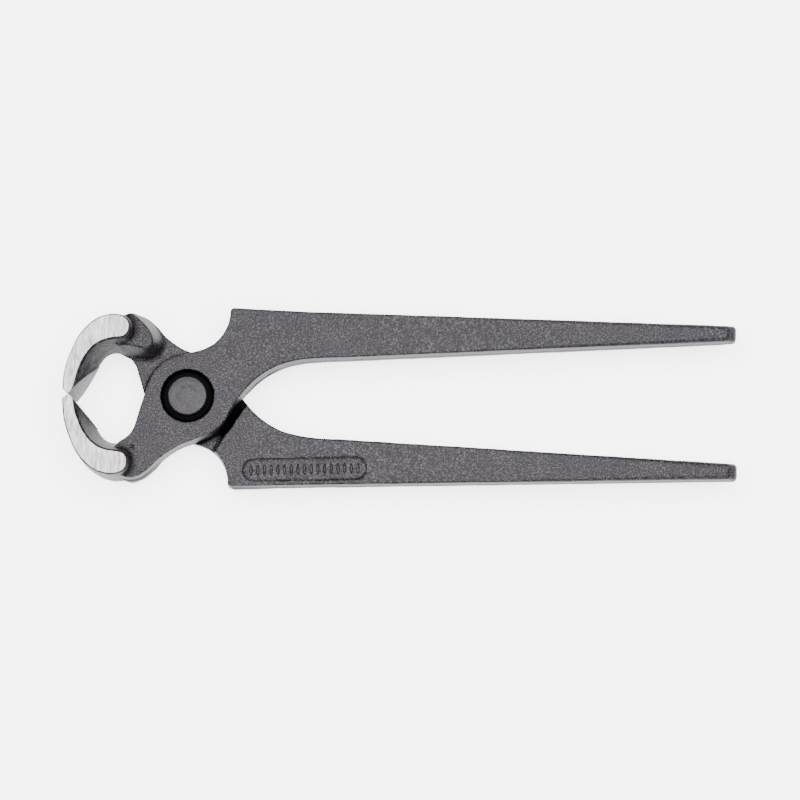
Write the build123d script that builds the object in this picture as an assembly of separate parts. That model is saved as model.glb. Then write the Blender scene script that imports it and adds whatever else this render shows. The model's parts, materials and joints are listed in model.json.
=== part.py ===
from build123d import *
import math
import os

# End-cutting pincers: two identical forged levers, lapped and riveted together.
#
# Units are millimetres. The levers are drawn about the rivet axis, which is Z, with the
# handles towards +X. The front lever carries the upper handle (+Y) and the lower jaw (-Y).
# The rear lever is the same forging turned half a turn about the tool's long axis.
# Last of all the tool is moved so that its origin is the bottom centre of its box: it lies
# on the ground side faces of its jaws.

# Overall sizes
FRONT_X = -38.6            # foremost point of the jaws
HANDLE_END_X = 171.4       # ends of the handles
JAW_WIDTH = 24.0           # along Z, between the ground side faces
LAP_THICKNESS = 8.5        # one lever at the joint
HANDLE_THICKNESS = 11.5    # both faces, at the shoulder
HANDLE_END_THICKNESS = 10.4
DRAFT = 3.0                # degrees, from the parting plane Z = 0

# Handle, at the parting plane
HANDLE_OUTER_END_Y = 24.6  # outer edge at the end
HANDLE_INNER_X = 48.0      # where the inner edge becomes straight
HANDLE_INNER_Y = 12.3
HANDLE_INNER_END_Y = 18.85
END_RADIUS = 1.7

# Shoulder: a round scoop between lap and handle, centred straight across from the rivet
SHOULDER_Y = 26.6
SHOULDER_RADIUS = 12.4
SHOULDER_CORNER = 1.7      # rounded corner where the scoop meets the handle's outer edge

# Joint
LAP_RADIUS = 13.3          # rounded lap, on the jaw side
NECK_LEAVE = 163.2         # degrees about the rivet, where the neck leaves the lap's circle
NECK_STRAIGHT = 13.4
LAP_GAP = 0.1              # between the two lap faces
SWEEP_RADIUS = 18.0        # wall that the other lever's lap turns inside
STOP_RADIUS = 18.6         # same wall by the shoulder, where the other neck comes to rest
STOP_ANGLE = 57.0          # degrees, where that wider stretch begins
NECK_PAD_SLOPE = 18.0      # degrees, wall between neck pad and lap face
FACE_BLEND_X = 12.0        # where the lap face starts to come down to the handle face
FACE_BLEND_END_X = 42.0    # and where it has done so

# Rivet
SHANK_RADIUS = 4.5
HEAD_RADIUS = 6.1
HEAD_HEIGHT = 2.9
HEAD_PROUD = 0.8           # above the lap face
HEAD_ROUND = 0.9
SINK_RADIUS = 8.2          # round sink about the head
RUNNING_CLEARANCE = 0.05   # radial, rear lever on the rivet

# Jaw
EDGE_X = -36.6             # cutting edge
EDGE_GAP = 0.15            # between the two cutting edges when closed
EDGE_BEVEL_Y = 1.6         # outer bevel of the edge, across the jaw
BEVEL_ANGLE = 49.5         # inner bevel, from the tool's long axis
BEVEL_SIDE = 2.9           # length of the inner bevel at the side faces
BEVEL_MIDDLE = 12.3        # and at mid-width
CROWN_STEPS = ((-1.0, 0.0), (-0.5, 0.48), (0.0, 0.97), (0.5, 0.48), (1.0, 0.0))

# Oval panel on the handle's flat face
PANEL_X = 36.6
PANEL_Y = 22.4
PANEL_LENGTH = 38.5
PANEL_WIDTH = 6.9
PANEL_DEPTH = 0.35
PANEL_TILT = -1.6


def heading(degrees):
    """Unit vector at an angle from +X, in plan."""
    return Vector(math.cos(math.radians(degrees)), math.sin(math.radians(degrees)))


def lever_outline():
    """Plan of handle, lap and neck at the parting plane, as one face."""
    handle_start = Vector(SHOULDER_RADIUS + SHOULDER_CORNER, SHOULDER_Y + SHOULDER_CORNER)
    corner_mid = handle_start + SHOULDER_CORNER * Vector(-math.sqrt(0.5), math.sqrt(0.5) - 1)
    lean = math.degrees(math.acos((LAP_RADIUS + SHOULDER_RADIUS) / SHOULDER_Y))
    face_end = Vector(SHOULDER_RADIUS, SHOULDER_Y)
    scoop_end = Vector(0, SHOULDER_Y) + SHOULDER_RADIUS * heading(lean - 90)
    scoop_mid = Vector(0, SHOULDER_Y) + SHOULDER_RADIUS * heading(lean / 2 - 45)
    lap_start = LAP_RADIUS * heading(90 + lean)
    lap_mid = LAP_RADIUS * heading((90 + lean + NECK_LEAVE) / 2)
    lap_end = LAP_RADIUS * heading(NECK_LEAVE)
    neck_end = lap_end + NECK_STRAIGHT * heading(NECK_LEAVE + 90)
    inner_start = Vector(HANDLE_INNER_X, HANDLE_INNER_Y)
    inner_end = Vector(HANDLE_END_X - END_RADIUS, HANDLE_INNER_END_Y)
    outer_end = Vector(HANDLE_END_X - END_RADIUS, HANDLE_OUTER_END_Y)
    end_mid = Vector(HANDLE_END_X, (HANDLE_INNER_END_Y + HANDLE_OUTER_END_Y) / 2)
    edges = [
        Line(outer_end, handle_start),
        ThreePointArc(handle_start, corner_mid, face_end),
        ThreePointArc(face_end, scoop_mid, scoop_end),
        Line(scoop_end, lap_start),
        ThreePointArc(lap_start, lap_mid, lap_end),
        Line(lap_end, neck_end),
        TangentArc(neck_end, (-21.0, -13.9), tangent=heading(NECK_LEAVE + 90)),
        Line((-21.0, -13.9), (-24.0, -17.5)),
        Line((-24.0, -17.5), (-24.5, -23.4)),
        Line((-24.5, -23.4), (-21.0, -25.0)),
        ThreePointArc((-21.0, -25.0), (-16.0, -25.8), (-11.6, -23.1)),
        ThreePointArc((-11.6, -23.1), (-5.0, -17.6), (1.0, -14.7)),
        Line((1.0, -14.7), (6.9, -12.3)),
        ThreePointArc((6.9, -12.3), (10.9, -9.7), (13.3, -5.5)),
        ThreePointArc((13.3, -5.5), (27.4, 7.9), inner_start),
        Line(inner_start, inner_end),
        ThreePointArc(inner_end, end_mid, outer_end),
    ]
    return make_face(Curve() + edges)


def handle_profile():
    """Side view of lap and handle: thick at the joint, thinner along the handle."""
    top = [
        (-60, LAP_THICKNESS),
        (FACE_BLEND_X, LAP_THICKNESS),
        (FACE_BLEND_END_X, HANDLE_THICKNESS / 2),
        (HANDLE_END_X + 1, HANDLE_END_THICKNESS / 2),
    ]
    bottom = [
        (HANDLE_END_X + 1, -HANDLE_END_THICKNESS / 2),
        (FACE_BLEND_END_X, -HANDLE_THICKNESS / 2),
        (0, -HANDLE_THICKNESS / 2),
        (0, -LAP_THICKNESS),
        (-60, -LAP_THICKNESS),
    ]
    face = Plane.XZ * make_face(Polyline(*top, *bottom, close=True))
    return extrude(face, 40, both=True)


def lap_recess():
    """Space on the far side of the lap, where the other lever's lap turns."""
    depth = LAP_THICKNESS + 5
    sweep = Pos(0, 0, -depth / 2) * Cylinder(SWEEP_RADIUS, depth)
    rest = Rot(0, 0, STOP_ANGLE) * Cylinder(
        STOP_RADIUS, depth, arc_size=90 - STOP_ANGLE, align=(Align.NONE, Align.NONE, Align.MAX)
    )
    jaw_side = make_face(
        Polyline((-60, -10), (-60, 40), (0, 40), (0, -40), (-30, -40), close=True)
    )
    jaw_side = extrude(jaw_side, -depth)
    space = sweep + rest + jaw_side
    return Pos(0, 0, LAP_GAP / 2) * space


def neck_pad(drafted_plate):
    """Full-thickness part of the neck, behind the jaw, with a sloping wall to the lap."""
    pad = make_face(
        Curve() + [
            Line((-30, -10.5), (-30, -32)),
            Line((-30, -32), (-21.6, -32)),
            ThreePointArc((-21.6, -32), (-12.2, -24), (-8.5, -17.5)),
            ThreePointArc((-8.5, -17.5), (-10, -13.3), (-15, -11.6)),
            Line((-15, -11.6), (-30, -10.5)),
        ]
    )
    sloped = extrude(pad, LAP_THICKNESS, taper=NECK_PAD_SLOPE)
    return mirror(sloped & drafted_plate, about=Plane.XY)


def jaw_section(side, crown):
    """One cross-cut of the jaw at side * half width; crown is 0 at the faces, 1 midway."""
    z = side * JAW_WIDTH / 2
    tip_y = -EDGE_GAP / 2
    bevel = BEVEL_SIDE + crown * (BEVEL_MIDDLE - BEVEL_SIDE)
    bevel_end = (
        EDGE_X + bevel * math.cos(math.radians(BEVEL_ANGLE)),
        tip_y - bevel * math.sin(math.radians(BEVEL_ANGLE)),
    )
    swell = 0.4 * crown
    throat_side = Vector(-29.9, -13.8)
    throat = throat_side + crown * (Vector(-26.4, -12.9) - throat_side)
    heel_side = Vector(-21.4, -17.4)
    heel = heel_side + crown * (Vector(-20.9, -13.9) - heel_side)
    root = Vector(-17.8, -20.8)
    back = Vector(-20.4, -24.5 - swell)
    corner = (FRONT_X, tip_y - EDGE_BEVEL_Y)
    edges = [
        Line((EDGE_X, tip_y), corner),
        Spline(
            corner, (-37.4 - swell / 4, -10.1), (-33.3 - swell / 2, -19.15 - swell / 2),
            (-27.2, -24.2 - swell), back, tangents=[(0, -1), (1, 0.35)],
        ),
        ThreePointArc(back, root, heel),
        Spline(heel, throat, bevel_end, tangents=[(-1, 0.0), (-0.3 - 0.3 * crown, 1)]),
        Line(bevel_end, (EDGE_X, tip_y)),
    ]
    return Pos(0, 0, z) * make_face(Curve() + edges)


def jaw():
    """Hooked jaw with a crowned inner face and a straight cutting edge across it."""
    return loft([jaw_section(side, crown) for side, crown in CROWN_STEPS])


def oval_panel():
    """Shallow sunk oval on the handle face that carries no lettering."""
    oval = Rot(0, 0, PANEL_TILT) * SlotOverall(PANEL_LENGTH, PANEL_WIDTH)
    face_z = -HANDLE_THICKNESS / 2
    return Pos(PANEL_X, PANEL_Y, face_z - 1) * extrude(oval, 1 + PANEL_DEPTH)


def lever(hole_radius):
    """One forged lever with its rivet hole, in the front lever's position."""
    upper = extrude(lever_outline(), LAP_THICKNESS, taper=DRAFT)
    plate = (upper + mirror(upper, about=Plane.XY)) & handle_profile()
    body = plate - lap_recess() + neck_pad(upper) + jaw()
    sink_floor = LAP_THICKNESS + HEAD_PROUD - HEAD_HEIGHT
    body -= Pos(0, 0, sink_floor + 5) * Cylinder(SINK_RADIUS, 10)
    body -= Cylinder(hole_radius, 4 * LAP_THICKNESS)
    return body - oval_panel()


def rivet():
    """Round shank with a flat round head at each end."""
    top = LAP_THICKNESS + HEAD_PROUD
    head = Cylinder(HEAD_RADIUS, HEAD_HEIGHT)
    rim = head.edges().filter_by(GeomType.CIRCLE).sort_by(Axis.Z)[-1]
    head = Pos(0, 0, top - HEAD_HEIGHT / 2) * fillet(rim, HEAD_ROUND)
    shank = Cylinder(SHANK_RADIUS, 2 * (top - HEAD_HEIGHT / 2))
    return shank + head + Rot(180, 0, 0) * head


def write(shape, node):
    """Move a piece to the tool's own frame and write it."""
    place = Pos(-(FRONT_X + HANDLE_END_X) / 2, 0, JAW_WIDTH / 2)
    export_step(place * shape, f"parts/{node}.step")


os.makedirs("parts", exist_ok=True)
write(lever(SHANK_RADIUS), "front_lever")
write(Rot(180, 0, 0) * lever(SHANK_RADIUS + RUNNING_CLEARANCE), "rear_lever")
write(rivet(), "rivet")
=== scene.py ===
import json
import logging
import math
from dataclasses import dataclass, field
from enum import Enum

import bmesh
import bpy
import numpy as np
from mathutils import Matrix, Vector


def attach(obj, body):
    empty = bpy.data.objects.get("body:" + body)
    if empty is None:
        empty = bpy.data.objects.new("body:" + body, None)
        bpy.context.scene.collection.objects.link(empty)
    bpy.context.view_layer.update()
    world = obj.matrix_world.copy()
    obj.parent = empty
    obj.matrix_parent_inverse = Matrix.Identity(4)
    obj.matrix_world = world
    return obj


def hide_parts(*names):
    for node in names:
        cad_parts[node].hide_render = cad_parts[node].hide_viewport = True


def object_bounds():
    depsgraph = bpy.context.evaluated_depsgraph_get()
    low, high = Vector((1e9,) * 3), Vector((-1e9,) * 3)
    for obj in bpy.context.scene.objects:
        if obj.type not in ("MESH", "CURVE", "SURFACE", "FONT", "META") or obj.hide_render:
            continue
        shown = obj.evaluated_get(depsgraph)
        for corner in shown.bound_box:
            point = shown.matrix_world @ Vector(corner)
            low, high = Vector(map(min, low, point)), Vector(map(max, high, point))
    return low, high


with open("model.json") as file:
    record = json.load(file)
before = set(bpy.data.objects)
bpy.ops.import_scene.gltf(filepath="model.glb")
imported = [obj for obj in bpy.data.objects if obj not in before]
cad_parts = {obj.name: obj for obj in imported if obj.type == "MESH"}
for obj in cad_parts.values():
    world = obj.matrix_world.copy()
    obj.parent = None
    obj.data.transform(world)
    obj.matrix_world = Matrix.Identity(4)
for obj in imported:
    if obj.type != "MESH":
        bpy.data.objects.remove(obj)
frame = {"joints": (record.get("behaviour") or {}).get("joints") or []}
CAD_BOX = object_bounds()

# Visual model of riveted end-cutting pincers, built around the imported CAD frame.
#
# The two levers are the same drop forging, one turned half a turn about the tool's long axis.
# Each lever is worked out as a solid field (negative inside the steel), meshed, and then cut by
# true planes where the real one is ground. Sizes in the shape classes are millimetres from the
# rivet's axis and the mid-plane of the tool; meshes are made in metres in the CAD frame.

MM = 0.001
# the finishes paint shade by it: darker colour and weaker reflections where it is low
OPENNESS = "openness"      # attribute on every piece: 1 in the open, 0 in a deep corner
Array = np.ndarray
Pair = tuple[float, float]
Triple = tuple[float, float, float]
Point = Pair
Colour = Triple

log = logging.getLogger("pincers")


class Surface(Enum):
    """Material slots of a lever, in the order in which the mesh holds them."""

    FORGED = 0
    GROUND = 1
    BEVEL = 2
    HOLLOW = 3


class Side(Enum):
    """Which of the two levers a piece belongs to; the value is its turn about the long axis."""

    FRONT = 0.0
    REAR = 180.0


# ---------------------------------------------------------------- plane curves


def heading(degrees: float) -> Array:
    """Unit vector in plan.

    Args:
        degrees: angle from +X.

    Returns:
        The vector as an array of two numbers.
    """
    return np.array([math.cos(math.radians(degrees)), math.sin(math.radians(degrees))])


def arc(centre: Point, radius: float, start: float, end: float, step: float = 0.35) -> Array:
    """Points along a round stretch.

    Args:
        centre: centre of the circle.
        radius: its radius.
        start: first angle in degrees.
        end: last angle in degrees; the arc runs the way the numbers go.
        step: longest spacing of the points.

    Returns:
        The points, one a row, both ends included.
    """
    count = max(3, int(radius * abs(math.radians(end - start)) / step) + 2)
    angles = np.radians(np.linspace(start, end, count))
    return np.array(centre) + radius * np.column_stack([np.cos(angles), np.sin(angles)])


def flowing(knots: list[Point], step: float = 0.5) -> Array:
    """Smooth curve through given knots (centripetal Catmull-Rom).

    Args:
        knots: the points it passes.
        step: about how far apart the returned points are.

    Returns:
        The points, one a row, from the first knot to the last.
    """
    p = np.array(knots, float)
    p = np.vstack([2 * p[0] - p[1], p, 2 * p[-1] - p[-2]])
    made = [p[1][None]]
    for a, b, c, d in zip(p[:-3], p[1:-2], p[2:-1], p[3:], strict=True):
        t0 = 0.0
        t1 = t0 + math.sqrt(np.linalg.norm(b - a))
        t2 = t1 + math.sqrt(np.linalg.norm(c - b))
        t3 = t2 + math.sqrt(np.linalg.norm(d - c))
        count = max(2, int(np.linalg.norm(c - b) / step) + 1)
        t = np.linspace(t1, t2, count + 1)[1:, None]
        ab = ((t1 - t) * a + (t - t0) * b) / (t1 - t0)
        bc = ((t2 - t) * b + (t - t1) * c) / (t2 - t1)
        cd = ((t3 - t) * c + (t - t2) * d) / (t3 - t2)
        abc = ((t2 - t) * ab + (t - t0) * bc) / (t2 - t0)
        bcd = ((t3 - t) * bc + (t - t1) * cd) / (t3 - t1)
        made.append(((t2 - t) * abc + (t - t1) * bcd) / (t2 - t1))
    return np.vstack(made)


def distance_in_plan(loop: Array, x: Array, y: Array) -> Array:
    """Signed distance to a closed loop.

    Args:
        loop: corners in order, one a row; the last joins the first.
        x: X of the grid's points.
        y: Y of the grid's points, of the same shape.

    Returns:
        The distances, negative inside the loop.
    """
    near = np.full(x.shape, np.inf)
    inside = np.zeros(x.shape, bool)
    for (ax, ay), (bx, by) in zip(loop, np.roll(loop, -1, axis=0), strict=True):
        ex, ey = bx - ax, by - ay
        length = ex * ex + ey * ey
        if length < 1e-12:
            continue
        t = np.clip(((x - ax) * ex + (y - ay) * ey) / length, 0, 1)
        near = np.minimum(near, (x - ax - t * ex) ** 2 + (y - ay - t * ey) ** 2)
        crosses = (ay > y) != (by > y)
        if ey != 0:
            inside ^= crosses & (x < ax + ex * (y - ay) / ey)
    return np.where(inside, -1, 1) * np.sqrt(near)


# ---------------------------------------------------------------- solid fields


def meet(a: Array, b: Array, radius: float | Array) -> Array:
    """Solid common to two fields, its edge rounded.

    Args:
        a: first field.
        b: second field.
        radius: radius of the edge, one number or one for each place.

    Returns:
        The combined field.
    """
    outer = np.hypot(np.maximum(a + radius, 0), np.maximum(b + radius, 0))
    return np.minimum(np.maximum(a, b), -radius) + outer


def join(a: Array, b: Array, radius: float) -> Array:
    """Both solids together, with a fillet of that radius where they meet."""
    return -meet(-a, -b, radius)


def carve(a: Array, b: Array, radius: float) -> Array:
    """The first solid less the second, with the mouth rounded by that radius."""
    return meet(a, -b, radius)


def eased(value: Array, low: float, high: float) -> Array:
    """Smooth rise from 0 at low to 1 at high."""
    t = np.clip((value - low) / (high - low), 0, 1)
    return t * t * (3 - 2 * t)


def ripple(points: Array, wavelength: float, seed: int, count: int = 24) -> Array:
    """Band of gentle random waves, for the uneven skin of a forging.

    Args:
        points: places, one a row.
        wavelength: typical length of a wave, in the points' unit.
        seed: fixes the waves.
        count: how many waves are summed.

    Returns:
        One height a point, about -1 to 1.
    """
    draw = np.random.default_rng(seed)
    total = np.zeros(len(points))
    for _ in range(count):
        way = draw.normal(size=3)
        way *= 2 * math.pi / (wavelength * draw.uniform(0.7, 1.6) * np.linalg.norm(way))
        total += np.sin(points @ way + draw.uniform(0, 2 * math.pi))
    return total / math.sqrt(count / 2) / 2


# ---------------------------------------------------------------- meshing


@dataclass(frozen=True)
class Grid:
    """Box grid whose lines may stand unevenly along each axis."""

    xs: Array
    ys: Array
    zs: Array

    def plan(self) -> tuple[Array, Array]:
        """X and Y of the grid's lines in plan, ready to combine with heights."""
        x, y = np.meshgrid(self.xs, self.ys, indexing="ij")
        return x, y

    def sample(self, values: Array, points: Array) -> Array:
        """Reads a field between the grid's lines.

        Args:
            values: the field at the grid's points.
            points: places, one a row; beyond the grid the nearest value is taken.

        Returns:
            The field at the places.
        """
        cells, shares = [], []
        for axis, line in enumerate((self.xs, self.ys, self.zs)):
            at = np.clip(points[:, axis], line[0], line[-1])
            cell = np.clip(np.searchsorted(line, at) - 1, 0, len(line) - 2)
            cells.append(cell)
            shares.append((at - line[cell]) / (line[cell + 1] - line[cell]))
        total = np.zeros(len(points))
        for corner in range(8):
            steps = [(corner >> axis) & 1 for axis in range(3)]
            weight = np.ones(len(points))
            for share, step in zip(shares, steps, strict=True):
                weight = weight * (share if step else 1 - share)
            places = tuple(cell + step for cell, step in zip(cells, steps, strict=True))
            total += weight * values[places]
        return total


class SurfaceNet:
    """Quad mesh of the zero level of a field on a grid, one vertex to each crossed cell."""

    def __init__(self, values: Array, grid: Grid) -> None:
        """Works out the vertices and quads.

        Args:
            values: the field at the grid's points.
            grid: the grid.
        """
        self.values = values
        self.grid = grid
        inside = values < 0
        count = sum(
            inside[i : i + values.shape[0] - 1, j : j + values.shape[1] - 1,
                   k : k + values.shape[2] - 1].astype(np.int8)
            for i in (0, 1) for j in (0, 1) for k in (0, 1)
        )
        self.cells = np.argwhere((count > 0) & (count < 8))
        self.index = np.full(count.shape, -1, np.int64)
        self.index[tuple(self.cells.T)] = np.arange(len(self.cells))
        self.vertices = self._vertices()
        self.quads = np.vstack([self._quads(axis, inside) for axis in range(3)])

    def _vertices(self) -> Array:
        """Mean of the places where each cell's edges cross the surface.

        Returns:
            The vertices, one a row.
        """
        total = np.zeros((len(self.cells), 3))
        hits = np.zeros(len(self.cells))
        for axis in range(3):
            others = [a for a in range(3) if a != axis]
            for u in (0, 1):
                for v in (0, 1):
                    low = np.zeros(3, np.int64)
                    low[others[0]], low[others[1]] = u, v
                    high = low.copy()
                    high[axis] = 1
                    a = self.values[tuple((self.cells + low).T)]
                    b = self.values[tuple((self.cells + high).T)]
                    crossed = (a < 0) != (b < 0)
                    share = np.where(crossed, a / np.where(crossed, a - b, 1), 0)
                    start, end = self._place(self.cells + low), self._place(self.cells + high)
                    total += crossed[:, None] * (start + share[:, None] * (end - start))
                    hits += crossed
        return total / hits[:, None]

    def _place(self, cells: Array) -> Array:
        """Places of grid points given by their three indices."""
        lines = (self.grid.xs, self.grid.ys, self.grid.zs)
        return np.column_stack([line[cells[:, a]] for a, line in enumerate(lines)])

    def _quads(self, axis: int, inside: Array) -> Array:
        """Quads about the grid edges along one axis that cross the surface.

        Args:
            axis: 0, 1 or 2.
            inside: which of the grid's points lie inside the solid.

        Returns:
            Four vertex numbers a row, in the order that turns the face outward.
        """
        b, c = (axis + 1) % 3, (axis + 2) % 3
        low = [slice(None)] * 3
        high = [slice(None)] * 3
        low[axis], high[axis] = slice(None, -1), slice(1, None)
        for a in (b, c):
            low[a] = high[a] = slice(1, -1)
        start, end = inside[tuple(low)], inside[tuple(high)]
        edges = np.argwhere(start != end)
        leaving = start[tuple(edges.T)]
        edges[:, b] += 1
        edges[:, c] += 1
        corners = []
        for db, dc in ((-1, -1), (0, -1), (0, 0), (-1, 0)):
            cell = edges.copy()
            cell[:, b] += db
            cell[:, c] += dc
            corners.append(self.index[tuple(cell.T)])
        quads = np.column_stack(corners)
        quads[~leaving] = quads[~leaving][:, ::-1]
        return quads


# ---------------------------------------------------------------- shapes


@dataclass
class LeverShape:
    """Sizes of one lever, in the front lever's place."""

    # handle
    end_x: float = 171.4
    outer_y: float = 28.3
    outer_end_y: float = 24.6
    inner_x: float = 48.0            # where the inner edge becomes straight
    inner_y: float = 12.3
    inner_end_y: float = 18.85
    half_handle: float = 5.75
    half_handle_end: float = 5.2
    tip_bevel: Pair = (3.1, 0.7)     # length and slope of the faces' last stretch
    tip_edge: float = 0.3
    end_round: float = 1.2
    # shoulder and lap
    shoulder_y: float = 26.6
    shoulder_radius: float = 12.4
    shoulder_corner: float = 1.7
    lap_radius: float = 13.3
    lap: float = 8.5
    lap_gap: float = 0.1
    neck_leave: float = 163.2        # degrees about the rivet, where the neck leaves the lap's circle
    neck_straight: float = 13.4
    draft: Pair = (1.2, 3.2)         # degrees, about the joint and at the handle
    draft_x: Pair = (2.0, 30.0)
    blend_x: Pair = (9.0, 46.0)      # lap face comes down to the handle's face
    # recess for the other lap: angle and radius of its wall, then its start, slope and rounds
    sweep: tuple[Pair, ...] = (
        (-20, 18.8), (4, 18.4), (12, 16.6), (25, 15.6), (46, 15.7), (54, 16.5), (60, 17.6),
        (66, 18.7), (80, 18.8), (100, 18.0), (120, 17.2))
    recess_from: float = -2.0
    recess_slope: float = 10.0
    recess_corner: float = 1.4
    recess_edge: float = 0.35
    # pad behind the jaw
    pad_slope: float = 17.0
    pad_edge: float = 0.6
    pad_top: float = 2.0
    pad_fillet: float = 1.3
    # sink and hole
    sink_radius: float = 8.2
    sink_floor: float = 6.4
    sink_flare: float = 0.12
    sink_corner: float = 0.9
    sink_edge: float = 0.25
    hole_radius: float = 4.52
    # jaw
    half_jaw: float = 12.0
    grinding_spare: float = 0.3      # left on each side face, and then ground off
    jaw_edge: float = 1.1
    jaw_fillet: float = 0.4
    edge_x: float = -36.6
    front_x: float = -38.6
    half_edge_gap: float = 0.075
    edge_bevel_y: float = 1.6
    bevel_angle: float = 49.5
    bevel_end_x: float = -24.0
    bevel_fade: Pair = (-26.2, 3.0)  # where the bevel's plane lifts, and how fast
    swell: float = 0.4
    ridge: float = 1.2               # roundness of the crown at mid-width
    eye_middle: Pair = (-26.0, -4.0)
    hollow_end_x: float = -19.5
    # edges: place along the tool and radius of the faces' edges there, and the flash line
    face_edge: tuple[Pair, ...] = ((0, 0.32), (40, 0.55), (80, 0.55), (165, 1.5))
    flash: float = 0.18
    flash_width: float = 0.6
    # oval panel with its lozenges, and punch mark
    panel: Pair = (36.6, 22.3)
    panel_half: Pair = (19.2, 3.4)
    panel_turn: float = -1.6
    panel_depth: float = 0.5
    panel_corner: float = 0.15
    panel_edge: float = 0.2
    rib: Triple = (0.5, 1.75, 0.42)
    rib_count: int = 17
    rib_margin: float = 2.6
    punch: Pair = (-16.9, -16.0)
    punch_rise: float = 0.25
    punch_radius: float = 0.68
    punch_edge: float = 0.15
    # painted shade: reach and weight of each look outward, then where the other lever adds to it
    corner_looks: tuple[Pair, ...] = ((0.7, 0.35), (1.5, 0.5), (3.0, 0.6))
    seam_looks: tuple[Pair, ...] = ((1.2, 0.8), (2.0, 1.2))
    seam_share: tuple[Pair, ...] = ((-16, 0), (-15.9, 1), (0, 1), (8, 0.4))
    rivet_head: Pair = (6.1, 9.3)    # radius and height

    def outline(self) -> Array:
        """Plan of handle, lap and neck at the parting plane.

        Returns:
            The closed loop, one corner a row.
        """
        corner = (self.shoulder_radius + self.shoulder_corner, self.shoulder_y)
        lean = math.degrees(
            math.acos((self.lap_radius + self.shoulder_radius) / self.shoulder_y)
        )
        lap_end = self.lap_radius * heading(self.neck_leave)
        neck_end = lap_end + self.neck_straight * heading(self.neck_leave + 90)
        stretch = 8.0
        slope_out = (self.outer_end_y - self.outer_y) / (self.end_x - corner[0])
        slope_in = (self.inner_end_y - self.inner_y) / (self.end_x - self.inner_x)
        throat = self.throat_arc(neck_end, self.neck_leave + 90, (-21.0, -13.9))
        return np.vstack([
            [(self.end_x + stretch, self.outer_end_y + stretch * slope_out)],
            arc(corner, self.shoulder_corner, 90, 180),
            arc((0, self.shoulder_y), self.shoulder_radius, 0, lean - 90),
            arc((0, 0), self.lap_radius, 90 + lean, self.neck_leave),
            throat,
            [(-24.0, -17.5), (-24.5, -23.8)],
            flowing([(-21.0, -25.0), (-18.5, -26.1), (-16.0, -25.95), (-13.6, -24.95),
                     (-11.2, -23.0), (-8.2, -20.15), (-5.0, -17.65), (-2.0, -15.85),
                     (1.0, -14.7), (4.0, -13.5), (6.9, -12.3), (9.2, -10.9), (11.2, -9.2),
                     (12.6, -7.1), (14.2, -4.1), (16.5, -0.7), (20.1, 3.7), (24.2, 7.1),
                     (29.0, 9.7), (34.8, 11.3), (41.2, 12.0), (self.inner_x, self.inner_y)]),
            [(self.end_x + stretch, self.inner_end_y + stretch * slope_in)],
        ])

    @staticmethod
    def throat_arc(start: Array, direction: float, end: Point) -> Array:
        """Arc that leaves start in a direction and reaches end.

        Args:
            start: first point.
            direction: heading there, in degrees.
            end: last point.

        Returns:
            Points along the arc.
        """
        chord = np.array(end) - start
        turn = direction - math.degrees(math.atan2(chord[1], chord[0])) % 360
        radius = np.linalg.norm(chord) / (2 * math.sin(math.radians(turn)))
        centre = start + radius * heading(direction - 90)
        return arc(tuple(centre), radius, direction + 90, direction + 90 - 2 * turn)

    def pad_outline(self) -> Array:
        """Foot, at the lap face, of the full-thickness pad behind the jaw.

        Returns:
            The closed loop, one corner a row.
        """
        return np.vstack([
            flowing([(-30, -11.5), (-19.5, -13.2), (-16.5, -12.7), (-13.8, -12.2),
                     (-11.2, -12.7), (-9.3, -14.2), (-8.4, -16.6), (-8.7, -19.2),
                     (-10.2, -22.1), (-12.8, -25.1), (-16.2, -27.9), (-20.0, -29.6),
                     (-24.0, -30.2)]),
            [(-30, -30.5)],
        ])

    def jaw_outline(self, crowned: bool) -> Array:
        """Cross-cut of the jaw without its ground bevels.

        Args:
            crowned: True at mid-width, False at the side faces.

        Returns:
            The closed loop; it runs on past the cutting edge, where planes cut it later.
        """
        reach = 3.5
        bulge = self.swell if crowned else 0.0
        outer = flowing([
            (self.front_x, reach), (self.front_x, -self.edge_bevel_y),
            (-38.42, -5.2), (-37.65 - bulge / 3, -9.3), (-36.2 - bulge / 2, -13.5),
            (-34.15 - bulge, -17.95), (-31.3 - bulge, -21.55 - bulge / 2),
            (-27.8, -24.1 - bulge), (-24.0, -25.2 - bulge),
        ])
        if crowned:
            rest = [(-24.0, -25.6), (-20.5, -25.8), (-17.0, -24.9), (-14.8, -22.4),
                    (-14.4, -19.0), (-15.4, -15.6), (-17.6, -13.4), (-20.4, -13.75),
                    (-22.6, -14.15), (-24.3, -14.0), (-25.8, -13.3), (-27.2, -12.0),
                    (-28.2, -10.3), (-28.7, -8.6), (-28.7, reach)]
        else:
            rest = [(-24.0, -25.2), (-21.2, -24.95), (-19.3, -24.2), (-18.1, -22.8),
                    (-17.75, -21.0), (-18.1, -19.3), (-19.3, -18.0), (-21.2, -17.45),
                    (-24.0, -17.1), (-26.6, -16.25), (-28.9, -14.8), (-30.9, -12.5),
                    (-32.5, -9.7), (-33.8, -6.0), (-34.6, -2.3), (-35.0, reach)]
        return np.vstack([outer, flowing(rest)[1:]])

    def face_height(self, x: Array) -> Array:
        """Height of the outer face along the tool: lap, then down to the tapering handle.

        Args:
            x: places along the tool.

        Returns:
            The heights above the parting plane.
        """
        along = (x - self.blend_x[1]) / (self.end_x - self.blend_x[1])
        handle = self.half_handle + (self.half_handle_end - self.half_handle) * along.clip(0)
        drop = eased(x, *self.blend_x)
        return self.lap * (1 - drop) + handle * drop

    def back_height(self, x: Array) -> Array:
        """Depth of the handle's other face along the tool."""
        along = (x - self.blend_x[0]) / (self.end_x - self.blend_x[0])
        return self.half_handle + (self.half_handle_end - self.half_handle) * along.clip(0)

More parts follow.
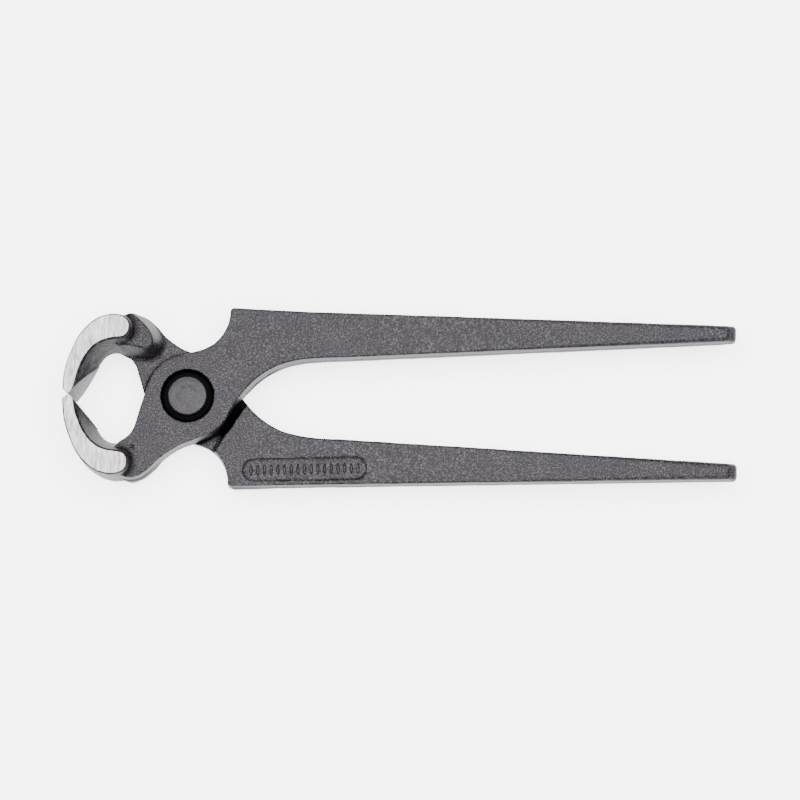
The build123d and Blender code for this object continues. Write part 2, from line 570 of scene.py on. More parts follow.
    def plate(self, x: Array, y: Array, z: Array, plan: Array) -> Array:
        """Field of handle, lap and neck before the recess is made.

        Args:
            x: X of the grid in plan.
            y: Y of the grid in plan; not used.
            z: heights, along the last axis.
            plan: signed distance to the outline in plan.

        Returns:
            The field on the whole grid.
        """
        steep = np.tan(np.radians(self._draft(x)))[..., None]
        bead = self.flash * np.exp(-((z / self.flash_width) ** 2))
        wall = plan[..., None] + np.abs(z) * steep + self.flash - bead
        places, radii = zip(*self.face_edge, strict=True)
        ease = np.interp(x, places, radii)[..., None]
        top = z - self.face_height(x)[..., None]
        bottom = -z - self.back_height(x)[..., None]
        length, slope = self.tip_bevel
        slant = (x - self.end_x + length)[..., None] * slope
        lean = 1 / math.hypot(1, slope)
        top = meet(top, (top + slant) * lean, self.tip_edge)
        bottom = meet(bottom, (bottom + slant) * lean, self.tip_edge)
        solid = meet(wall, top, ease)
        solid = meet(solid, bottom, ease)
        return meet(solid, (x - self.end_x)[..., None] + 0 * z, self.end_round)

    def _draft(self, x: Array) -> Array:
        """Draft in degrees along the tool: little about the joint, more along the handle."""
        return self.draft[0] + (self.draft[1] - self.draft[0]) * eased(x, *self.draft_x)

    def recess(self, x: Array, y: Array, z: Array) -> Array:
        """Field of the space that the other lever's lap turns in.

        Args:
            x: X of the grid in plan.
            y: Y of the grid in plan.
            z: heights, along the last axis.

        Returns:
            The field on the whole grid.
        """
        angle = np.degrees(np.arctan2(y, x))
        angles, radii = zip(*self.sweep, strict=True)
        sweep = np.hypot(x, y) - np.interp(angle, angles, radii)
        space = np.minimum(sweep, x - self.recess_from)
        slant = math.radians(self.recess_slope)
        wall = space[..., None] * math.cos(slant) + z * math.sin(slant)
        return meet(wall, z - self.lap_gap / 2, self.recess_corner)

    def pad(self, x: Array, y: Array, z: Array, plan: Array) -> Array:
        """Field of the pad behind the jaw, on the recessed side.

        Args:
            x: X of the grid in plan.
            y: Y of the grid in plan.
            z: heights, along the last axis.
            plan: signed distance to the outline in plan.

        Returns:
            The field on the whole grid.
        """
        slant = math.radians(self.pad_slope)
        loop = distance_in_plan(self.pad_outline(), x, y)
        wall = (loop[..., None] + np.abs(z) * math.tan(slant)) * math.cos(slant)
        side = plan[..., None] + np.abs(z) * np.tan(np.radians(self._draft(x)))[..., None]
        body = meet(np.maximum(wall, side), -z - self.lap, self.pad_edge)
        return np.maximum(body, z - self.pad_top)

    def jaw(self, x: Array, y: Array, z: Array) -> Array:
        """Field of the hooked jaw, its inner bevel cut flat.

        Args:
            x: X of the grid in plan.
            y: Y of the grid in plan.
            z: heights, along the last axis.

        Returns:
            The field on the whole grid.
        """
        side = distance_in_plan(self.jaw_outline(False), x, y)[..., None]
        middle = distance_in_plan(self.jaw_outline(True), x, y)[..., None]
        height = np.sqrt(z * z + self.ridge * self.ridge) - self.ridge
        crown = 1 - height / (math.hypot(self.half_jaw, self.ridge) - self.ridge)
        hook = side + (middle - side) * crown
        turn = math.radians(self.bevel_angle)
        bevel = (x - self.edge_x) * math.sin(turn)
        bevel = bevel + (y + self.half_edge_gap) * math.cos(turn)
        lift_x, lift = self.bevel_fade
        bevel = bevel - lift * np.maximum(x - lift_x, 0)
        hook = meet(hook, np.abs(z) - self.half_jaw - self.grinding_spare, self.jaw_edge)
        return np.maximum(hook, bevel[..., None])

    def field(self, grid: Grid) -> Array:
        """The whole lever as a field.

        Args:
            grid: where it is worked out.

        Returns:
            The field at the grid's points, negative inside the steel.
        """
        x, y = grid.plan()
        z = grid.zs[None, None, :]
        plan = distance_in_plan(self.outline(), x, y)
        body = self.plate(x, y, z, plan)
        body = carve(body, self.recess(x, y, z), self.recess_edge)
        body = join(body, self.pad(x, y, z, plan), self.pad_fillet)
        body = join(body, self.jaw(x, y, z), self.jaw_fillet)
        radius = np.hypot(x, y)[..., None]
        wall = radius - self.sink_radius - self.sink_flare * (z - self.lap)
        sink = meet(wall, self.sink_floor - z, self.sink_corner)
        body = carve(body, sink, self.sink_edge)
        body = carve(body, self.oval(x, y, z), self.panel_edge)
        pit = np.hypot(x - self.punch[0], y - self.punch[1])[..., None]
        pit = np.hypot(pit, z - self.lap - self.punch_rise) - self.punch_radius
        body = carve(body, pit, self.punch_edge)
        return np.maximum(body, self.hole_radius - radius)

    def oval(self, x: Array, y: Array, z: Array) -> Array:
        """Field of the shallow oval sunk in the handle's flat face.

        Args:
            x: X of the grid in plan.
            y: Y of the grid in plan.
            z: heights, along the last axis.

        Returns:
            The field on the whole grid.
        """
        turn = math.radians(self.panel_turn)
        u = (x - self.panel[0]) * math.cos(turn) + (y - self.panel[1]) * math.sin(turn)
        v = (y - self.panel[1]) * math.cos(turn) - (x - self.panel[0]) * math.sin(turn)
        reach, half = self.panel_half
        ring = np.hypot(np.maximum(np.abs(u) - (reach - half), 0), v) - half
        floor = -self.back_height(x) + self.panel_depth
        return meet(ring[..., None], z - floor[..., None], self.panel_corner)

    def ribs(self) -> list[Matrix]:
        """Places of the plain raised lozenges in the oval.

        Returns:
            For each, the matrix that makes it of a ball of radius 1.
        """
        width, reach, height = self.rib
        along = self.panel_half[0] - self.rib_margin
        turn = Matrix.Rotation(math.radians(self.panel_turn), 4, "Z")
        made = []
        for step in range(self.rib_count):
            shift = turn @ Vector((along * (2 * step / (self.rib_count - 1) - 1), 0, 0))
            at = Vector((*self.panel, 0)) + shift
            depth = float(self.back_height(np.array(at.x))) - self.panel_depth
            size = Matrix.Diagonal((width, reach, height, 1))
            made.append(Matrix.Translation((at.x, at.y, -depth)) @ turn @ size)
        return made

    def openness(self, points: Array, normals: Array, values: Array, grid: Grid) -> Array:
        """How freely each place of the skin sees out, for shade painted in corners and by the other
        lever.

        Args:
            points: places on the skin, one a row.
            normals: outward normals there.
            values: the lever's field on the grid.
            grid: that grid.

        Returns:
            1 in the open, down to 0 in a deep corner.
        """
        closed = np.zeros(len(points))
        for reach, weight in self.corner_looks:
            at = points + normals * reach
            free = grid.sample(values, at)
            free = np.minimum(free, self._to_head(at))
            closed += weight * np.clip((reach - free) / reach, 0, 1)
        seam = np.interp(points[:, 0], *zip(*self.seam_share, strict=True))
        for reach, weight in self.seam_looks:
            other = (points + normals * reach) * (1, -1, -1)
            free = grid.sample(values, other)
            closed += seam * weight * np.clip((reach - free) / reach, 0, 1)
        return np.clip(1 - closed, 0, 1)

    def _to_head(self, points: Array) -> Array:
        """Distance to the rivet's heads, which shade the sinks about them.

        Args:
            points: places, one a row.

        Returns:
            The distances, 0 within a head or the shank between them.
        """
        radius, height = self.rivet_head
        beside = np.hypot(points[:, 0], points[:, 1]) - radius
        above = np.abs(points[:, 2]) - height
        return np.hypot(np.maximum(beside, 0), np.maximum(above, 0))


@dataclass
class RivetShape:
    """Sizes of the rivet: a shank and a round, slightly domed head at each end."""

    shank_radius: float = 4.5
    head_radius: float = 6.1
    head_floor: float = 6.5
    head_top: float = 8.9
    foot: float = 0.25               # bevel under the head
    rim: float = 0.45
    rim_steps: int = 8
    dome: float = 0.4
    top_radii: tuple[float, ...] = (4.6, 4.1, 3.6, 2.8, 2.0, 1.2, 0.5)
    press_ring: Triple = (0.10, 3.7, 0.35)  # depth, radius and width
    facets: int = 96
    painted_shade: Pair = (1.9, 0.9)          # painted shade on the sides, below the top: dark to there, open from there

    def half_profile(self) -> list[Point]:
        """Works out one half, from the middle of the shank to the head's centre.

        Returns:
            Radius and height of each point.
        """
        corner_r = self.head_radius - self.rim
        corner_z = self.head_top - self.rim
        rim = [
            (corner_r + self.rim * math.cos(a), corner_z + self.rim * math.sin(a))
            for a in np.radians(np.linspace(0, 90, self.rim_steps))
        ]
        depth, middle, width = self.press_ring
        top = []
        for r in self.top_radii:
            ring = depth * math.exp(-(((r - middle) / width) ** 2))
            top.append((r, self.head_top + self.dome * (1 - (r / corner_r) ** 2) - ring))
        shank = [(self.shank_radius, 0.0), (self.shank_radius, self.head_floor)]
        return [*shank, (self.head_radius - self.foot, self.head_floor),
                (self.head_radius, self.head_floor + self.foot), *rim, *top]


# ---------------------------------------------------------------- finishes


class NodeBench:
    """Small helper that lays out one material's nodes."""

    def __init__(self, name: str) -> None:
        """Starts an empty node material with that name."""
        self.material = bpy.data.materials.new(name)
        self.material.use_nodes = True
        self.tree = self.material.node_tree
        self.tree.nodes.clear()
        self.shader = self.node("ShaderNodeBsdfPrincipled")
        output = self.node("ShaderNodeOutputMaterial")
        self.link(self.shader, "BSDF", output, "Surface")

    def node(self, kind: str, **settings: object) -> bpy.types.Node:
        """Adds a node and sets its properties.

        Args:
            kind: Blender's name for the node type.
            **settings: the properties.

        Returns:
            The node.
        """
        made = self.tree.nodes.new(kind)
        for key, value in settings.items():
            setattr(made, key, value)
        return made

    def link(self, a: bpy.types.Node, out: str, b: bpy.types.Node, into: str) -> None:
        """Joins an output of one node to an input of another."""
        source = next(o for o in a.outputs if o.enabled and o.name == out)
        self.tree.links.new(source, b.inputs[into])

    def place(self, stretch: Triple = (1, 1, 1)) -> bpy.types.Node:
        """Object coordinates, so that patterns stay on the steel.

        Args:
            stretch: how much the pattern is pressed together along each axis.

        Returns:
            The mapping node.
        """
        where = self.node("ShaderNodeTexCoord")
        scale = self.node("ShaderNodeMapping")
        scale.inputs["Scale"].default_value = stretch
        self.link(where, "Object", scale, "Vector")
        return scale

    def noise(self, place: bpy.types.Node, scale: float, detail: float, rough: float = 0.55
              ) -> bpy.types.Node:
        """Noise texture on a mapping.

        Args:
            place: the mapping node.
            scale: how many features to a metre.
            detail: octaves.
            rough: how strong the fine octaves are.

        Returns:
            The texture node.
        """
        made = self.node("ShaderNodeTexNoise")
        made.inputs["Scale"].default_value = scale
        made.inputs["Detail"].default_value = detail
        made.inputs["Roughness"].default_value = rough
        self.link(place, "Vector", made, "Vector")
        return made

    def ramp(self, source: bpy.types.Node, out: str, stops: list[tuple[float, tuple]]
             ) -> bpy.types.Node:
        """Colour ramp on an output.

        Args:
            source: node to read.
            out: its output.
            stops: place and colour of each stop, in order.

        Returns:
            The ramp node.
        """
        made = self.node("ShaderNodeValToRGB")
        elements = made.color_ramp.elements
        while len(elements) < len(stops):
            elements.new(0.5)
        for element, (at, colour) in zip(elements, stops, strict=True):
            element.position = at
            element.color = (*colour, 1)
        self.link(source, out, made, "Fac")
        return made

    def blend(self, mode: str, share: float, a: bpy.types.Node, b: bpy.types.Node
              ) -> bpy.types.Node:
        """Blends two colours.

        Args:
            mode: blend mode.
            share: how much of the second is used.
            a: node with the first colour.
            b: node with the second colour.

        Returns:
            The mix node; its colour is the output "Result".
        """
        made = self.node("ShaderNodeMix", data_type="RGBA", blend_type=mode)
        made.inputs[0].default_value = share
        for source, socket in ((a, made.inputs[6]), (b, made.inputs[7])):
            colours = [o for o in source.outputs if o.enabled and o.type == "RGBA"]
            self.tree.links.new(colours[0], socket)
        return made

    def span(self, source: bpy.types.Node, out: str, ends: Pair,
             within: Pair = (0.0, 1.0)) -> bpy.types.Node:
        """Maps an output to a range.

        Args:
            source: node to read.
            out: its output.
            ends: the range.
            within: the part of the output that is mapped.

        Returns:
            The node; the mapped value is its output "Result".
        """
        made = self.node("ShaderNodeMapRange")
        made.inputs["From Min"].default_value, made.inputs["From Max"].default_value = within
        made.inputs["To Min"].default_value, made.inputs["To Max"].default_value = ends
        self.link(source, out, made, "Value")
        return made

    def bump(self, source: bpy.types.Node, out: str, height: float,
             under: bpy.types.Node | None = None) -> bpy.types.Node:
        """Bump from a texture, over another bump if given.

        Args:
            source: texture node.
            out: its output.
            height: height of the bump in metres.
            under: a bump node that this one adds to.

        Returns:
            The bump node.
        """
        made = self.node("ShaderNodeBump")
        made.inputs["Strength"].default_value = 1.0
        made.inputs["Distance"].default_value = height
        self.link(source, out, made, "Height")
        if under is not None:
            self.link(under, "Normal", made, "Normal")
        return made


@dataclass(frozen=True)
class ForgedFinish:
    """Black-oxide skin of a blasted forging: dull, speckled, a little violet, with shade painted into
    its corners.
    """

    name: str = "forged_black_oxide"
    dark: Colour = (0.0012, 0.0010, 0.0014)
    mid: Colour = (0.0080, 0.0068, 0.0088)
    light: Colour = (0.056, 0.050, 0.060)
    speckle_at: Triple = (0.38, 0.50, 0.65)  # places of the three on the grain
    # painted shade: this colour is multiplied in where the openness attribute is low
    corner: Colour = (0.02, 0.02, 0.02)
    corner_at: Pair = (0.30, 0.86)   # openness of full painted shade, and of none
    stain: tuple[Colour, Colour] = ((0.78, 0.77, 0.80), (1.15, 1.11, 1.13))
    stain_at: Pair = (0.32, 0.68)
    stain_scale: float = 170.0
    grain_scale: float = 2200.0
    along_z: float = 1.0
    roughness: Pair = (0.42, 0.62)
    metallic: float = 0.25
    # specular level: glint in the open, down to corner_glint in closed places, which is painted shade
    # on reflections
    glint: float = 0.22              # specular level in the open
    corner_glint: float = 0.02
    glint_at: Pair = (0.35, 0.9)
    stain_depth: float = 0.00012
    grain_depth: float = 0.00009

    def make(self) -> bpy.types.Material:
        """Builds the material.

        Returns:
            The new material.
        """
        bench = NodeBench(self.name)
        grain = bench.noise(bench.place((1.0, 1.0, self.along_z)), self.grain_scale, 3.0, 0.62)
        clouds = bench.noise(bench.place(), self.stain_scale, 4.0)
        tones = (self.dark, self.mid, self.light)
        speckle = bench.ramp(grain, "Fac", list(zip(self.speckle_at, tones, strict=True)))
        stain = bench.ramp(clouds, "Fac", list(zip(self.stain_at, self.stain, strict=True)))
        tone = bench.blend("MULTIPLY", 1.0, speckle, stain)
        # painted shade: low openness darkens the colour and weakens the reflections
        open_air = bench.node("ShaderNodeAttribute", attribute_name=OPENNESS)
        shade_tones = (self.corner, (1.0, 1.0, 1.0))
        painted_shade = bench.ramp(open_air, "Fac", list(zip(self.corner_at, shade_tones, strict=True)))
        final = bench.blend("MULTIPLY", 1.0, tone, painted_shade)
        bench.link(final, "Result", bench.shader, "Base Color")
        shine = bench.span(grain, "Fac", self.roughness)
        bench.link(shine, "Result", bench.shader, "Roughness")
        glint = bench.span(open_air, "Fac", (self.corner_glint, self.glint), self.glint_at)
        bench.link(glint, "Result", bench.shader, "Specular IOR Level")
        pits = bench.bump(clouds, "Fac", self.stain_depth)
        fine = bench.bump(grain, "Fac", self.grain_depth, pits)
        bench.link(fine, "Normal", bench.shader, "Normal")
        bench.shader.inputs["Metallic"].default_value = self.metallic
        return bench.material


@dataclass(frozen=True)
class GroundFinish:
    """Bare ground steel with fine straight marks."""

    name: str
    along: Triple
    dark: Colour = (0.085, 0.081, 0.083)
    light: Colour = (0.34, 0.325, 0.32)
    marks_at: Pair = (0.32, 0.66)
    mark_scale: float = 900.0
    mark_depth: float = 0.00002
    stain: tuple[Colour, Colour] = ((0.84, 0.82, 0.84), (1.0, 1.0, 1.0))
    stain_at: Pair = (0.32, 0.66)
    stain_scale: float = 300.0
    roughness: Pair = (0.34, 0.5)
    metallic: float = 0.6

    def make(self) -> bpy.types.Material:
        """Builds the material.

        Returns:
            The new material.
        """
        bench = NodeBench(self.name)
        marks = bench.noise(bench.place(self.along), self.mark_scale, 3.0, 0.65)
        clouds = bench.noise(bench.place(), self.stain_scale, 3.0)
        tones = (self.dark, self.light)
        tone = bench.ramp(marks, "Fac", list(zip(self.marks_at, tones, strict=True)))
        stain = bench.ramp(clouds, "Fac", list(zip(self.stain_at, self.stain, strict=True)))
        final = bench.blend("MULTIPLY", 1.0, tone, stain)
        bench.link(final, "Result", bench.shader, "Base Color")
        shine = bench.span(marks, "Fac", self.roughness)
        bench.link(shine, "Result", bench.shader, "Roughness")
        scratches = bench.bump(marks, "Fac", self.mark_depth)
        bench.link(scratches, "Normal", bench.shader, "Normal")
        bench.shader.inputs["Metallic"].default_value = self.metallic
        return bench.material


# ---------------------------------------------------------------- pieces


@dataclass
class Lever:
    """One forged lever: builds its mesh and dresses it."""

    side: Side
    name: str
    node: str
    body: str
    seed: int
    shape: LeverShape = field(default_factory=LeverShape)
    skin_waves: tuple[Pair, ...] = ((9.0, 0.050), (3.2, 0.028))
    fine_step: float = 0.35          # grid about the head and at the tip
    middle_step: float = 0.5         # along the shoulder and the oval
    long_step: float = 1.2           # along the rest of the handle
    step_changes: Pair = (22.0, 60.0)
    tip_length: float = 4.5
    low_y: float = -28.0
    margin: float = 1.0
    side_margin: float = 1.8
    height_shift: float = 0.11       # keeps the grid's lines off the parting plane
    joint_reach: float = 30.0        # lap faces within it stay flat
    lap_skin: float = 0.4            # how far from the parting plane they are looked for
    rivet_reach: float = 6.0
    bevel_points: Pair = (0.12, 0.9)  # a vertex of the inner bevel: how near, how square
    bevel_faces: Pair = (0.05, 0.97)  # and a face of it
    hollow_square: float = 0.15      # least turn of the hollow's faces towards the eye's middle
    crease: float = 38.0             # degrees; sharper edges are shaded as edges

    def grid(self) -> Grid:
        """Grid with close lines about the head and wider ones along the handle.

        Returns:
            The grid, in millimetres about the rivet's axis.
        """
        s = self.shape
        head_end, panel_end = self.step_changes
        tip_x = s.end_x - self.tip_length
        head = np.arange(s.front_x - self.margin, head_end, self.fine_step)
        panel = np.arange(head_end, panel_end, self.middle_step)
        handle = np.arange(panel_end, tip_x, self.long_step)
        tip = np.arange(tip_x, s.end_x + self.margin, self.fine_step)
        ys = np.arange(self.low_y, s.outer_y + self.margin, self.fine_step)
        half = s.half_jaw + self.side_margin
        zs = np.arange(-half, half, self.fine_step) + self.height_shift
        return Grid(np.concatenate([head, panel, handle, tip]), ys, zs)

    def build(self, steel: dict[Surface, bpy.types.Material], centre: Vector
              ) -> bpy.types.Object:
        """Makes the lever's object in its place.

        Args:
            steel: material of each kind of surface.
            centre: the rivet's axis at the tool's mid-plane, in metres.

        Returns:
            The new object.
        """
        grid = self.grid()
        values = self.shape.field(grid).astype(np.float32)
        net = SurfaceNet(values, grid)
        mesh = bpy.data.meshes.new(self.name)
        mesh.from_pydata(net.vertices, [], net.quads.tolist())
        for surface in Surface:
            mesh.materials.append(steel[surface])
        self._roughen(mesh)
        self._grind(mesh)
        self._paint_corner_shade(mesh, values, grid)
        turn = Matrix.Rotation(math.radians(self.side.value), 4, "X")
        mesh.transform(Matrix.Translation(centre) @ turn @ Matrix.Scale(MM, 4))
        piece = bpy.data.objects.new(self.name, mesh)
        bpy.context.scene.collection.objects.link(piece)
        mesh.shade_smooth()
        mesh.set_sharp_from_angle(angle=math.radians(self.crease))
        for face in mesh.polygons:
            if face.material_index == Surface.GROUND.value or len(face.vertices) > 4:
                face.use_smooth = False
        return piece

    def _roughen(self, mesh: bpy.types.Mesh) -> None:
        """Gives the forged skin its slight waves, away from fitted faces.

        Args:
            mesh: the lever's mesh, still in millimetres.
        """
        count = len(mesh.vertices)
        places = np.empty(count * 3)
        mesh.vertices.foreach_get("co", places)
        places = places.reshape(-1, 3)
        normals = np.empty(count * 3)
        mesh.vertex_normals.foreach_get("vector", normals)
        normals = normals.reshape(-1, 3)
        height = np.zeros(count)
        for step, (wavelength, depth) in enumerate(self.skin_waves):
            height += depth * (ripple(places, wavelength, self.seed + step) - 1)
        radius = np.hypot(places[:, 0], places[:, 1])
        fitted = (np.abs(places[:, 2]) < self.lap_skin) & (radius < self.joint_reach)
        height[fitted | (radius < self.rivet_reach) | self._on_bevel(places, normals)] = 0
        places += normals * height[:, None]
        mesh.vertices.foreach_set("co", places.ravel())
        mesh.update()

    def _paint_corner_shade(self, mesh: bpy.types.Mesh, values: Array, grid: Grid) -> None:
        """Writes how open each place is, which the finish reads to paint shade into corners.

        Args:
            mesh: the lever's mesh, still in millimetres.
            values: the lever's field.
            grid: the field's grid.
        """
        count = len(mesh.vertices)
        places, normals = np.empty(count * 3), np.empty(count * 3)
        mesh.vertices.foreach_get("co", places)
        mesh.vertex_normals.foreach_get("vector", normals)
        freedom = self.shape.openness(
            places.reshape(-1, 3), normals.reshape(-1, 3), values, grid
        )
        mesh.attributes.new(OPENNESS, "FLOAT", "POINT").data.foreach_set("value", freedom)

    def _on_bevel(self, places: Array, normals: Array) -> Array:
        """Finds the vertices of the ground inner bevel.

        Args:
            places: the vertices, one a row.
            normals: their normals.

        Returns:
            True for each that is on the bevel.
        """
        s = self.shape
        turn = math.radians(s.bevel_angle)
        way = np.array([math.sin(turn), math.cos(turn), 0])
        off = (places - [s.edge_x, -s.half_edge_gap, 0]) @ way
        near, square = self.bevel_points
        flat = (np.abs(off) < near) & (normals @ way > square)
        return flat & (places[:, 0] < s.bevel_end_x)

    def _grind(self, mesh: bpy.types.Mesh) -> None:
        """Cuts the side faces and the edge's outer bevel flat, and marks the ground faces.

        Args:
            mesh: the lever's mesh, still in millimetres; the lozenges are added to it.
        """
        s = self.shape
        bm = bmesh.new()
        bm.from_mesh(mesh)
        slope = Vector((-s.edge_bevel_y, s.edge_x - s.front_x, 0)).normalized()
        tip = Vector((s.edge_x, -s.half_edge_gap, 0))
        cuts = [
            (Vector((0, 0, s.half_jaw)), Vector((0, 0, 1)), Surface.GROUND),
            (Vector((0, 0, -s.half_jaw)), Vector((0, 0, -1)), Surface.GROUND),
            (tip, slope, Surface.BEVEL),
        ]
        for at, way, surface in cuts:
            everything = bm.verts[:] + bm.edges[:] + bm.faces[:]
            cut = bmesh.ops.bisect_plane(
                bm, geom=everything, dist=1e-5, plane_co=at, plane_no=way, clear_outer=True
            )
            rim = [e for e in cut["geom_cut"] if isinstance(e, bmesh.types.BMEdge)]
            capped = bmesh.ops.holes_fill(bm, edges=rim, sides=0)
            for face in capped["faces"]:
                face.material_index = surface.value
        turn = math.radians(s.bevel_angle)
        way = Vector((math.sin(turn), math.cos(turn), 0))
        near, square = self.bevel_faces
        for face in bm.faces:
            if face.material_index:
                continue
            middle = face.calc_center_median()
            flat = abs((middle - tip).dot(way)) < near and middle.x < s.bevel_end_x
            if flat and face.normal.dot(way) > square:
                face.material_index = Surface.BEVEL.value
            elif self._in_hollow(middle, face.normal):
                face.material_index = Surface.HOLLOW.value
        bmesh.ops.recalc_face_normals(bm, faces=bm.faces)
        bm.from_mesh(self._ribs())
        bm.to_mesh(mesh)
        bm.free()

    def _ribs(self) -> bpy.types.Mesh:
        """Makes the lozenges of the oval.

        Returns:
            One mesh of them all.
        """
        bm = bmesh.new()
        for place in self.shape.ribs():
            bmesh.ops.create_uvsphere(bm, u_segments=16, v_segments=8, radius=1, matrix=place)
        mesh = bpy.data.meshes.new(self.name + "_ribs")
        bm.to_mesh(mesh)
        bm.free()
        return mesh

    def _in_hollow(self, at: Vector, normal: Vector) -> bool:
        """Tells whether a face is of the jaw's inner hollow, which looks at the eye's middle.

        Args:
            at: the face's middle.
            normal: its normal.

        Returns:
            True if it is.
        """
        eye_x, eye_y = self.shape.eye_middle
        to_eye = Vector((eye_x - at.x, eye_y - at.y, 0))
        turned = normal.dot(to_eye) > self.hollow_square * to_eye.length
        return at.x < self.shape.hollow_end_x and at.y < 0 and turned

    def dress(self, piece: bpy.types.Object) -> None:
        """Hangs the piece on its body's empty and hides the CAD part that it replaces.

        Args:
            piece: the object that build made.
        """
        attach(piece, self.body)
        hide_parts(self.node)


@dataclass
class Rivet:
    """The rivet: builds its mesh by turning a profile."""

    name: str = "rivet_formed"
    node: str = "rivet"
    body: str = "front_half"
    shape: RivetShape = field(default_factory=RivetShape)
    crease: float = 40.0             # degrees; sharper edges are shaded as edges

    def build(self, steel: bpy.types.Material, centre: Vector) -> bpy.types.Object:
        """Makes the rivet's object in its place.

        Args:
            steel: its material.
            centre: the rivet's axis at the tool's mid-plane, in metres.

        Returns:
            The new object.
        """
        half = self.shape.half_profile()
        profile = [(r, -z) for r, z in reversed(half[1:])] + half[1:]
        bm = bmesh.new()
        rings = []
        for radius, height in profile:
            rings.append([
                bm.verts.new((radius * math.cos(a), radius * math.sin(a), height))
                for a in np.linspace(0, 2 * math.pi, self.shape.facets, endpoint=False)
            ])
        for low, high in zip(rings[:-1], rings[1:], strict=True):
            for i in range(self.shape.facets):
                j = (i + 1) % self.shape.facets
                bm.faces.new((low[i], low[j], high[j], high[i]))
        bm.faces.new(list(reversed(rings[0])))
        bm.faces.new(rings[-1])
        bmesh.ops.recalc_face_normals(bm, faces=bm.faces)
        mesh = bpy.data.meshes.new(self.name)
        bm.to_mesh(mesh)
        bm.free()
        self._paint_corner_shade(mesh)
        mesh.transform(Matrix.Translation(centre) @ Matrix.Scale(MM, 4))
        mesh.materials.append(steel)
        mesh.shade_smooth()
        mesh.set_sharp_from_angle(angle=math.radians(self.crease))
        piece = bpy.data.objects.new(self.name, mesh)
        bpy.context.scene.collection.objects.link(piece)
        return piece

    def _paint_corner_shade(self, mesh: bpy.types.Mesh) -> None:
        """Writes how open each place of the rivet is: its tops are, its sides are not and take
        painted shade.

        Args:
            mesh: the rivet's mesh, still in millimetres.
        """
        dark, bright = (self.shape.head_top - depth for depth in self.shape.painted_shade)
        freedom = [float(eased(np.array(abs(v.co.z)), dark, bright)) for v in mesh.vertices]
        mesh.attributes.new(OPENNESS, "FLOAT", "POINT").data.foreach_set("value", freedom)

    def dress(self, piece: bpy.types.Object) -> None:
        """Hangs the piece on its body's empty and hides the CAD part that it replaces.

        Args:
            piece: the object that build made.
        """
        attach(piece, self.body)
        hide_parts(self.node)


# ---------------------------------------------------------------- studio


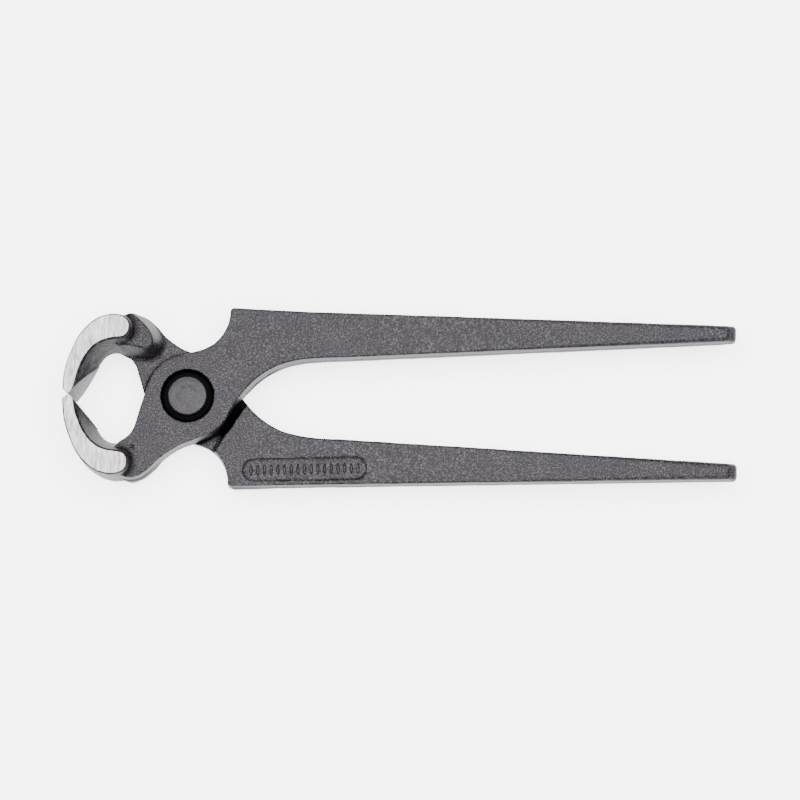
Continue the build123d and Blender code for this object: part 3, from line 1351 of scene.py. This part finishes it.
@dataclass
class Studio:
    """Pale floor, soft light and the camera."""

    tilt: float = 7.2                # degrees from straight above, towards -Y
    roll: float = 0.53               # degrees that the tool lies turned in the view
    aim: Triple = (-0.00036, 0.0003, 0.0)
    distance: float = 0.887
    lens: float = 127.35
    sensor: float = 36.0
    clip: Pair = (0.01, 50.0)
    floor_size: float = 6.0
    floor_z: float = -0.0004
    floor_colour: Colour = (0.93, 0.93, 0.935)
    floor_glow: float = 3.0
    air_glow: float = 0.07
    # each soft light: where it stands from the tool's middle, its width and height, watts
    overhead: tuple[Triple, Pair, float] = ((0.0, 0.1, 1.5), (1.6, 1.2), 105)
    front: tuple[Triple, Pair, float] = ((-0.2, -1.4, 0.5), (1.8, 0.5), 17)

    def light(self, name: str, at: Vector, aim: Vector, size: Pair,
              power: float) -> None:
        """Adds one soft rectangular light.

        Args:
            name: its name.
            at: where it stands.
            aim: what it shines at.
            size: its width and height.
            power: watts.
        """
        data = bpy.data.lights.new(name, "AREA")
        data.shape = "RECTANGLE"
        data.size, data.size_y = size
        data.energy = power
        lamp = bpy.data.objects.new(name, data)
        lamp.location = at
        lamp.rotation_mode = "QUATERNION"
        lamp.rotation_quaternion = (aim - at).to_track_quat("-Z", "Y")
        bpy.context.scene.collection.objects.link(lamp)

    def build(self, middle: Vector) -> None:
        """Sets up floor, world, lights and camera.

        Args:
            middle: the centre of the tool's box.
        """
        bench = NodeBench("pale_floor")
        bench.shader.inputs["Base Color"].default_value = (*self.floor_colour, 1)
        bench.shader.inputs["Roughness"].default_value = 0.9
        bench.shader.inputs["Specular IOR Level"].default_value = 0.1
        bench.shader.inputs["Emission Color"].default_value = (1, 1, 1, 1)
        bench.shader.inputs["Emission Strength"].default_value = self.floor_glow
        half = self.floor_size / 2
        mesh = bpy.data.meshes.new("floor")
        corners = [(-half, -half, 0), (half, -half, 0), (half, half, 0), (-half, half, 0)]
        mesh.from_pydata(corners, [], [(0, 1, 2, 3)])
        mesh.materials.append(bench.material)
        floor = bpy.data.objects.new("floor", mesh)
        floor.location = (middle.x, middle.y, self.floor_z)
        bpy.context.scene.collection.objects.link(floor)
        world = bpy.data.worlds.new("studio")
        world.use_nodes = True
        air = world.node_tree.nodes["Background"]
        air.inputs["Color"].default_value = (1, 1, 1, 1)
        air.inputs["Strength"].default_value = self.air_glow
        bpy.context.scene.world = world
        for name, (shift, size, power) in (("overhead", self.overhead), ("front", self.front)):
            self.light(name, middle + Vector(shift), middle, size, power)
        self._camera(middle + Vector(self.aim))

    def _camera(self, middle: Vector) -> None:
        """Puts the camera at the viewing angle and makes it the scene's.

        Args:
            middle: the place that it looks at.
        """
        right = Vector((*heading(self.roll), 0))
        across = Vector((-right.y, right.x, 0))
        lean = math.radians(self.tilt)
        back = Vector((0, 0, 1)) * math.cos(lean) - across * math.sin(lean)
        up = back.cross(right)
        turn = Matrix((right, up, back)).transposed().to_4x4()
        data = bpy.data.cameras.new("camera")
        data.sensor_width = self.sensor
        data.lens = self.lens
        data.clip_start, data.clip_end = self.clip
        camera = bpy.data.objects.new("camera", data)
        camera.matrix_world = Matrix.Translation(middle + back * self.distance) @ turn
        bpy.context.scene.collection.objects.link(camera)
        bpy.context.scene.camera = camera


def main() -> None:
    """Builds every piece in order, then the studio."""
    logging.basicConfig(level=logging.INFO, format="%(name)s: %(message)s")
    centre = Vector(frame["joints"][0]["pos_m"])
    steel = {
        Surface.FORGED: ForgedFinish().make(),
        Surface.GROUND: GroundFinish("ground_side_face", (2.3, 0.28, 1.0)).make(),
        Surface.BEVEL: GroundFinish("ground_bevel", (1.0, 1.0, 0.2),
                                    dark=(0.075, 0.070, 0.084), light=(0.150, 0.141, 0.168),
                                    roughness=(0.6, 0.75), metallic=0.25).make(),
        Surface.HOLLOW: ForgedFinish("hammered_hollow", grain_scale=620.0, along_z=3.5,
                                     glint=0.16).make(),
    }
    levers = [
        Lever(Side.FRONT, "front_lever_forging", "front_lever", "front_half", seed=11),
        Lever(Side.REAR, "rear_lever_forging", "rear_lever", "rear_half", seed=47),
    ]
    for lever in levers:
        piece = lever.build(steel, centre)
        lever.dress(piece)
        log.info("%s: %d faces", piece.name, len(piece.data.polygons))
    rivet = Rivet()
    piece = rivet.build(ForgedFinish(
        "rivet_black_oxide", dark=(0.0050, 0.0043, 0.0055), mid=(0.0090, 0.0080, 0.0098),
        light=(0.017, 0.015, 0.018), roughness=(0.26, 0.40), grain_scale=1500.0, glint=0.17,
    ).make(), centre)
    rivet.dress(piece)
    log.info("%s: %d faces", piece.name, len(piece.data.polygons))
    low, high = CAD_BOX
    Studio().build((low + high) / 2)


if __name__ == "__main__":
    main()
